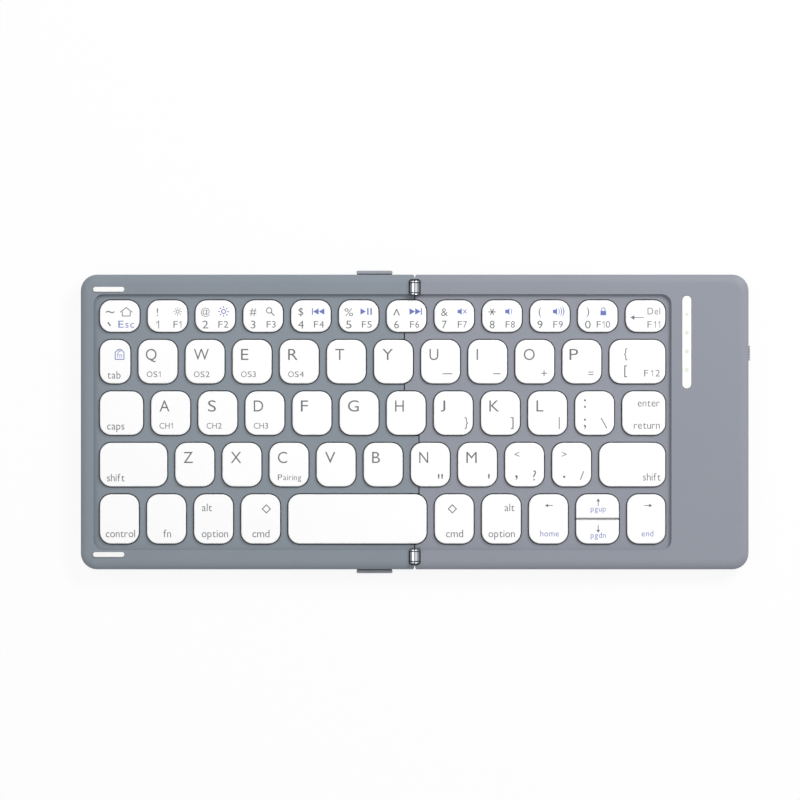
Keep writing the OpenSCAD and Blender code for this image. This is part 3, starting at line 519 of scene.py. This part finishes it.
def glyph(char):  # its left edge at x 0, its baseline at y 0 and a capital 1 high
    if char not in glyphs:
        mesh = flagged() if char == "1" else typed(char)
        low, high = (Vector([f(v.co[i] for v in mesh.vertices) for i in (0, 1)])
                     for f in (min, max))
        if char == "1":
            tall, base = 1, 0
        elif char == "J":
            tall, base = high.y - low.y, low.y
        else:
            tall, base = glyphs["capital"], 0
        long = tall / glyphWidths.get(char, 1)
        mesh.transform(Matrix.Diagonal((1 / long, 1 / tall, 1, 1))
                       @ Matrix.Translation((-low.x, -base, 0)))
        glyphs[char] = (mesh, (high.x - low.x) / long, (low.y + high.y - 2 * base) / 2 / tall)
    return glyphs[char]


capital = typed("H")
glyphs["capital"] = max(v.co.y for v in capital.vertices)


def word(text, x, y, height, align="left", blue=False, wide=1, gap=1):  # y is the baseline
    stretch = height * legendLook["narrow"] * wide
    gap *= legendLook["gap"] * height
    long = sum(glyph(c)[1] for c in text) * stretch + gap * (len(text) - 1)
    x -= {"left": 0, "right": long, "centre": long / 2}[align]
    for char in text:
        mesh, width = glyph(char)[:2]
        flat(mesh.copy(), Matrix.Translation((x, -y, 0))
             @ Matrix.Diagonal((stretch, height, 1, 1)), blue)
        x += width * stretch + gap


def sign(char, x, y, height, blue=False):  # x, y is the middle, and height is a capital's
    mesh, width, middle = glyph(char)
    flat(mesh.copy(), Matrix.Translation((x - width * height / 2, -y - middle * height, 0))
         @ Matrix.Diagonal((height, height, 1, 1)), blue)


def lay(piece, blue):
    mesh = piece.data
    bpy.data.objects.remove(piece)
    flat(mesh, Matrix.Identity(4), blue)


def bar(x, y, length, width, angle=0, blue=False):
    bpy.ops.mesh.primitive_plane_add(size=1, location=(x, -y, 0),
                                     rotation=(0, 0, math.radians(angle)))
    piece = bpy.context.object
    piece.scale = (length, width, 1)
    lay(settle(piece), blue)


def wedge(x, y, size, angle=0, blue=False, wide=1):  # a triangle pointing along its angle
    bpy.ops.mesh.primitive_circle_add(vertices=3, radius=size / 1.5, fill_type="NGON")
    piece = bpy.context.object
    piece.rotation_euler = (0, 0, math.radians(angle - 90))
    piece.location = (x, -y, 0)
    piece.scale = (wide, 1, 1)
    lay(settle(piece), blue)


def ring(x, y, radius, width, blue=False):
    bpy.ops.mesh.primitive_circle_add(vertices=legendLook["ringSides"], radius=radius,
                                      fill_type="NGON", location=(x, -y, 0))
    piece = settle(bpy.context.object)
    editPicked(piece, faces=everyFace)
    bpy.ops.mesh.inset(thickness=width)
    bpy.ops.mesh.delete(type="FACE")
    pick(piece)
    lay(piece, blue)


thinLine = legendLook["line"] * 0.9


def house(x, y):  # a sign's numbers are millimetres from its middle
    for side in (-1, 1):
        bar(x + side * 1.1, y - 0.75, 2.9, thinLine, -side * 38)
        bar(x + side * 1.45, y + 0.75, thinLine, 1.7)
    bar(x, y + 1.5, 3.1, thinLine)


def sun(x, y, size, blue):
    line = size * 0.16
    ring(x, y, size * 0.46, line, blue)
    for i in range(8):
        turn = math.radians(45 * i)
        bar(x + math.cos(turn) * size * 0.84, y - math.sin(turn) * size * 0.84,
            size * 0.34, line, 45 * i, blue)


def lens(x, y):
    ring(x - 0.4, y - 0.4, 1.15, thinLine)
    bar(x + 0.95, y + 0.95, 1.7, legendLook["line"] * 1.1, -45)


def skip(x, y, way):  # two wedges against a bar
    for i in (0, 1):
        wedge(x + way * (-1.25 + 2.1 * i), y, 2.05, 0 if way > 0 else 180, blue=True)
    bar(x + way * 2.45, y, 0.36, 2.5, blue=True)


def playPause(x, y):
    wedge(x - 1.45, y, 2.0, blue=True)
    for i in (0, 1):
        bar(x + 0.6 + 1.2 * i, y, 0.5, 2.5, blue=True)


def speaker(x, y, waves):
    bar(x - 1.35, y, 0.7, 1.3, blue=True)
    wedge(x - 0.65, y, 1.5, 180, blue=True, wide=1.45)
    for i in range(waves):
        sign(")", x + 0.5 + 0.8 * i, y, 1.9 + 0.4 * i, blue=True)
    if not waves:
        sign("x", x + 1.0, y, 2.3, blue=True)


def padlock(x, y):
    ring(x, y - 0.7, 0.85, 0.3, blue=True)
    bar(x, y + 0.6, 2.1, 1.6, blue=True)


def fnLock(x, y):
    for side, down, long in ((-1, -1.7, 1.5), (1, 1.9, 3.4)):
        bar(x + side * 1.62, y + 0.55, thinLine, 2.6, blue=True)
        bar(x + side * 1.15, y - 1.15, thinLine, 1.35, side * 44, blue=True)
        bar(x, y + down, long, thinLine, blue=True)
    bar(x, y - 1.15, 1.0, thinLine, blue=True)
    word("fn", x, y + 1.35, 2.0, "centre", blue=True, wide=0.9)


def arrow(x, y, length, angle, head=0.9):
    turn = math.radians(angle)
    bar(x, y, length, legendLook["line"] * 0.8, angle)
    reach = length * 0.42
    wedge(x + math.cos(turn) * reach, y - math.sin(turn) * reach, head, angle)


def diamond(x, y):
    for angle in (45, 135, 225, 315):
        turn = math.radians(angle)
        bar(x + math.cos(turn) * 1.05, y - math.sin(turn) * 1.05, 2.35, legendLook["line"],
            angle + 90)


letter, small, digit, named, function = (
    legendLook[k] for k in ("letter", "small", "digit", "word", "function"))
numberSigns = "!@#$%^&*()"
signSizes = {"^": 1.45, "@": 0.84, "$": 0.95}  # against a digit's
functionSpots = {1: 11.0, 10: 9.4}  # the middle of F1 and of F10, and of the others 10.3
numberIcons = [
    (lambda x, y: sun(x, y, 1.5, False), 11.1), (lambda x, y: sun(x, y, 1.95, True), 10.4),
    (lens, 9.95), (lambda x, y: skip(x, y, -1), 10.35), (playPause, 10.1),
    (lambda x, y: skip(x, y, 1), 10.35), (lambda x, y: speaker(x, y, 0), 10.2),
    (lambda x, y: speaker(x, y, 1), 10.15), (lambda x, y: speaker(x, y, 3), 10.1), (padlock, 9.35)]


def legendEsc():
    sign("~", 3.8, 4.35, 4.0)
    bar(3.45, 8.8, 1.7, 0.5, -55)
    word("Esc", 9.75, 10.1, 2.55, "centre", blue=True, wide=1.15, gap=2)
    house(9.75, 4.3)


def legendNumber(i):  # i is 1 to 10, with 0 last
    char = numberSigns[i - 1]
    if char == "*":
        for angle in (0, 60, 120):
            bar(3.65, 4.3, 2.7, legendLook["line"], angle)
    else:
        sign(char, 3.65, 4.4, digit * signSizes.get(char, 1))
    sign(str(i % 10), 3.65, 8.95, digit)
    word("F%d" % i, functionSpots.get(i, 10.3), 10.1, function, "centre", gap=1.6)
    icon, x = numberIcons[i - 1]
    icon(x, 4.15)


def legendDel():
    arrow(4.5, 6.35, 4.3, 180, 1.5)
    word("Del", 12.7, 5.25, 2.5, "right", gap=1.5)
    word("F11", 12.7, 10.1, function, "right", gap=2.4)


lowSigns = {"o": ("+", 10.6, 12.35, 3.1), "p": ("=", 10.5, 12.35, 2.8), "j": ("}", 12.0, 11.7, 3.2),
            "k": ("]", 11.5, 11.7, 3.3), "l": ("|", 11.5, 11.7, 3.3), "n": ('"', 10.9, 12.4, 5.0),
            "m": ("'", 11.4, 12.4, 5.0)}
lowBars = {"u": (9.7, 12.5, 3.6), "i": (10.55, 12.5, 2.7)}
lowWords = {"q": "OS1", "w": "OS2", "e": "OS3", "r": "OS4", "a": "CH1", "s": "CH2", "d": "CH3",
            "c": "Pairing"}
letterShifts = {"s": 0.5, "p": -0.5, "j": -0.6, "q": -0.35}


def legendLetter(char):
    word(char.upper(), 3.1 + letterShifts.get(char, 0), 7.45, letter)
    if char in lowSigns:
        sign(*lowSigns[char])
    if char in lowBars:
        bar(*lowBars[char], legendLook["line"])
    if char in lowWords:
        word(lowWords[char], 3.1, 13.75, small, gap=1.4)


def legendTab():
    word("tab", 2.85, 14.3, named)
    fnLock(7.3, 5.3)


def legendBrackets():
    sign("{", 5.95, 5.3, 3.3)
    sign("[", 5.95, 11.6, 3.3)
    word("F12", 18.6, 13.5, function, "right", gap=3)


def legendColon():
    sign(":", 3.6, 4.5, letter * 1.15)
    sign(";", 3.6, 12.0, letter * 1.15)
    bar(10.6, 11.7, 4.3, legendLook["line"], -60)


def legendComma():
    sign("<", 4.4, 4.2, 2.6)
    sign(",", 4.2, 12.8, letter * 1.3)
    sign("?", 10.9, 12.0, 3.7)


def legendStop():
    sign(">", 4.4, 4.2, 2.6)
    sign(".", 4.4, 12.5, letter * 1.3)
    bar(11.0, 12.0, 3.4, legendLook["line"], 69)


def legendOption(lowX, topX, align):
    word("option", lowX, 15.8, named, "centre")
    word("alt", topX, 6.2, named, align)


def legendCmd(x):
    word("cmd", 7.3, 15.8, named, "centre", wide=1.07)
    diamond(x, 5.35)


def legendArrow(text, angle, x, y, textY, height=legendLook["arrowWord"]):
    arrow(x, y, 2.3, angle, 1.15)
    word(text, x, textY, height, "centre", blue=True, gap=1.5)


def legendEnter():
    word("enter", 13.8, 5.6, named, "right")
    word("return", 13.8, 13.8, named, "right")


legends = {
    "number_keys_left": [legendEsc] + [lambda i=i: legendNumber(i) for i in range(1, 7)],
    "number_keys_right": [lambda i=i: legendNumber(i) for i in range(7, 11)] + [legendDel],
    "side_keys_left": [
        legendTab, lambda: word("caps", 2.7, 14.1, named), lambda: word("shift", 2.65, 14.2, named),
        lambda: word("control", 7.6, 15.8, named, "centre", gap=0.9),
        lambda: word("fn", 7.5, 15.8, named, "centre"), lambda: legendOption(7.7, 2.95, "left"),
        lambda: legendCmd(9.3)],
    "side_keys_right": [
        legendBrackets, legendColon, legendComma, legendStop,
        lambda: word("shift", 22.6, 13.9, named, "right"), lambda: legendCmd(6.5),
        lambda: legendOption(7.3, 12.0, "right"),
        lambda: legendArrow("home", 180, 7.6, 4.1, 15.5),
        lambda: legendArrow("pgup", 90, 8.15, 3.2, 6.3, 2.05),
        lambda: legendArrow("end", 0, 7.5, 4.1, 15.5),
        lambda: legendArrow("pgdn", 270, 8.15, 3.15, 6.7, 2.05)],
    "enter_key": [legendEnter],
}
for node in keyNodes:
    if node == "space_key":  # it is blank
        continue
    draws = legends.get(node) or [lambda char=node[-1]: legendLetter(char)]
    legendParts.clear()
    for draw, (low, high) in zip(draws, keyBoxes[node]):
        legendSpot["corner"] = Vector((low.x, high.y, high.z))
        draw()
    piece = join(list(legendParts), "legend_" + node.replace("key_", "", 1))
    modify(piece, "SOLIDIFY", thickness=legendLook["lift"] * mm, offset=1)
    bpy.ops.object.shade_flat()
    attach(piece, bodyOf[node])
print("legends made")


# --- key supports: dome and crossed frames of each key, grouped by the key above ---

supportShade = 30
supportKeys = [(node, low, high) for node in keyNodes for low, high in keyBoxes[node]]


def keyOver(middle):  # the node of the key whose box is nearest to a spot
    def past(key):
        node, low, high = key
        return max(abs(middle[i] - (low[i] + high[i]) / 2) - (high[i] - low[i]) / 2
                   for i in (0, 1))
    return min(supportKeys, key=past)[0]


for side in ("left", "right"):
    source = side + "_key_supports"
    pick(softCopy(source))
    bpy.ops.object.mode_set(mode="EDIT")
    bpy.ops.mesh.select_all(action="SELECT")
    bpy.ops.mesh.separate(type="LOOSE")
    bpy.ops.object.mode_set(mode="OBJECT")
    byKey = {}
    for piece in list(bpy.context.selected_objects):
        corners = [Vector(corner) for corner in piece.bound_box]
        owner = keyOver(sum(corners, Vector()) / len(corners))
        byKey.setdefault(owner, []).append(piece)
    for owner, group in byKey.items():
        piece = join(group, "support_" + owner.replace("key_", "", 1))
        pick(piece)
        bpy.ops.object.shade_smooth_by_angle(angle=math.radians(supportShade))
        dress(piece, finishes["innerPlastic"], side + "_half", "key_support", source)
        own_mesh(piece)
print("key supports made")


# --- link cable: a flat ribbon that bends under the rear hinge ---

ribbonLook = dict(steps=160, thick=0.2, leftEnd=-30.0, bendHalf=4.2, footRise=0.6, near=0.001)
low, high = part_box("link_cable")
leftEnd = ribbonLook["leftEnd"] * mm
thick = ribbonLook["thick"] * mm
bpy.ops.mesh.primitive_grid_add(x_subdivisions=ribbonLook["steps"], y_subdivisions=1, size=1)
ribbon = bpy.context.object
ribbon.scale = (high.x - leftEnd, high.y - low.y, 1)
ribbon.location = ((high.x + leftEnd) / 2, (high.y + low.y) / 2, high.z)
settle(ribbon)
for end, drops in ((high.x, [(0, 0, low.z + ribbonLook["footRise"] * mm - high.z)]),
                   (leftEnd, [(0, 0, low.z + thick - high.z), (low.x - leftEnd, 0, 0)])):
    near = ribbonLook["near"] * mm
    editPicked(ribbon, edges=lambda a, b: abs(a.x - end) < near and abs(b.x - end) < near)
    for drop in drops:
        bpy.ops.mesh.extrude_region_move(TRANSFORM_OT_translate={"value": drop})
modify(ribbon, "SOLIDIFY", thickness=thick, offset=-1)
ribbon.name = "ribbon"
ribbon.data.materials.append(finishes["ribbonFilm"])
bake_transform(ribbon)
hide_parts("link_cable")
print("ribbon made")


# --- marks on the status window ---

markLook = dict(pitch=6.84, rise=0.02,  # shapes are sides, radius and turn
                shapes=((4, 0.95, 45), (20, 0.8, 0), (4, 1.0, 0), (20, 0.65, 0)))
low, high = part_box("status_window")
marks = []
for i, (sides, radius, turn) in enumerate(markLook["shapes"]):
    spot = ((low.x + high.x) / 2,
            (low.y + high.y) / 2 + (i - 1.5) * markLook["pitch"] * mm, high.z)
    bpy.ops.mesh.primitive_circle_add(vertices=sides, radius=radius * mm, fill_type="NGON",
                                      location=spot, rotation=(0, 0, math.radians(turn)))
    marks.append(settle(bpy.context.object))
marks = join(marks, "status_marks")
modify(marks, "SOLIDIFY", thickness=markLook["rise"] * mm, offset=1)
dress(marks, finishes["markInk"], "right_half", "window_plastic")
print("status marks made")


# --- floor, light and camera ---

def mathNode(tree, operation, *feeds):  # feeds are sockets or numbers
    made = tree.nodes.new("ShaderNodeMath")
    made.operation = operation
    for socket, feed in zip(made.inputs, feeds):
        if isinstance(feed, float):
            socket.default_value = feed
        else:
            tree.links.new(feed, socket)
    return made.outputs[0]


stageLook = dict(floor=4.0, floorHigh=-0.0002, floorTone=0.9, glow=0.9,
                 seamHalf=(0.012, 0.0535), world=0.5, dim=0.25, dimTo=(0.1, 0.7),
                 sunSide=(0.5, 0.5, 0.7), sunPower=6.4, sunSize=0.4,
                 fillSide=(-0.6, 0.1, 0.8), fillPower=1.6, fillSize=0.7)
bpy.ops.mesh.primitive_plane_add(size=stageLook["floor"], location=(0, 0, stageLook["floorHigh"]))
floor = settle(bpy.context.object)
floor.name = "floor"
floorFinish = bpy.data.materials.new("paleFloor")
floorFinish.use_nodes = True
tree = floorFinish.node_tree
tree.nodes.clear()
matt = tree.nodes.new("ShaderNodeBsdfDiffuse")
matt.inputs["Color"].default_value = [stageLook["floorTone"]] * 3 + [1]
glow = tree.nodes.new("ShaderNodeEmission")
blend = tree.nodes.new("ShaderNodeMixShader")
path = tree.nodes.new("ShaderNodeLightPath")
output = tree.nodes.new("ShaderNodeOutputMaterial")
seen = mathNode(tree, "MAXIMUM", path.outputs["Is Camera Ray"], path.outputs["Is Glossy Ray"])
share = mathNode(tree, "MULTIPLY", seen, stageLook["glow"])
spot = tree.nodes.new("ShaderNodeTexCoord")
parts = tree.nodes.new("ShaderNodeSeparateXYZ")
tree.links.new(spot.outputs["Object"], parts.inputs["Vector"])
past = [mathNode(tree, "GREATER_THAN", mathNode(tree, "ABSOLUTE", parts.outputs[i]), half)
        for i, half in enumerate(stageLook["seamHalf"])]
outside = mathNode(tree, "MAXIMUM", *past)  # the floor under the seam keeps its own shade
tree.links.new(mathNode(tree, "MULTIPLY", share, outside), blend.inputs["Fac"])
tree.links.new(matt.outputs[0], blend.inputs[1])
tree.links.new(glow.outputs[0], blend.inputs[2])
tree.links.new(blend.outputs[0], output.inputs["Surface"])
floor.data.materials.append(floorFinish)

world = bpy.data.worlds.new("studio")
bpy.context.scene.world = world
world.use_nodes = True
tree = world.node_tree
sky = tree.nodes["Background"]
sky.inputs["Color"].default_value = (1, 1, 1, 1)
path = tree.nodes.new("ShaderNodeLightPath")
way = tree.nodes.new("ShaderNodeTexCoord")
parts = tree.nodes.new("ShaderNodeSeparateXYZ")
tree.links.new(way.outputs["Generated"], parts.inputs["Vector"])
mirrored = tree.nodes.new("ShaderNodeMapRange")  # what shines reflects a room that is dim low down
mirrored.inputs["From Min"].default_value = stageLook["dimTo"][0]
mirrored.inputs["From Max"].default_value = stageLook["dimTo"][1]
mirrored.inputs["To Min"].default_value = stageLook["dim"]
tree.links.new(parts.outputs["Z"], mirrored.inputs["Value"])
seen = mathNode(tree, "MAXIMUM", path.outputs["Is Camera Ray"],
                path.outputs["Is Transmission Ray"])
shine = tree.nodes.new("ShaderNodeMix")
shine.inputs["A"].default_value = stageLook["world"]
tree.links.new(path.outputs["Is Glossy Ray"], shine.inputs["Factor"])
tree.links.new(mirrored.outputs["Result"], shine.inputs["B"])
level = tree.nodes.new("ShaderNodeMix")
level.inputs["B"].default_value = 1
tree.links.new(seen, level.inputs["Factor"])
tree.links.new(shine.outputs["Result"], level.inputs["A"])
tree.links.new(level.outputs["Result"], sky.inputs["Strength"])

for name, side in (("keyLight", "sun"), ("fillLight", "fill")):
    bpy.ops.object.light_add(type="AREA", location=stageLook[side + "Side"])
    lamp = bpy.context.object
    lamp.name = name
    lamp.data.energy = stageLook[side + "Power"]
    lamp.data.size = stageLook[side + "Size"]
    lamp.rotation_euler = (-Vector(lamp.location)).to_track_quat("-Z", "Y").to_euler()

cameraLook = dict(away=1.6, centre=(-5.42, 8.11, 8.6), wide=295.0, sensor=36.0, farthest=20)
middle = Vector(cameraLook["centre"]) * mm
bpy.ops.object.camera_add(location=(middle.x, middle.y, middle.z + cameraLook["away"]),
                          rotation=(0, 0, 0))
camera = bpy.context.object
camera.data.sensor_width = cameraLook["sensor"]
camera.data.lens = cameraLook["sensor"] * cameraLook["away"] / (cameraLook["wide"] * mm)
camera.data.clip_end = cameraLook["farthest"]
bpy.context.scene.camera = camera
bpy.context.scene.view_settings.view_transform = "Standard"
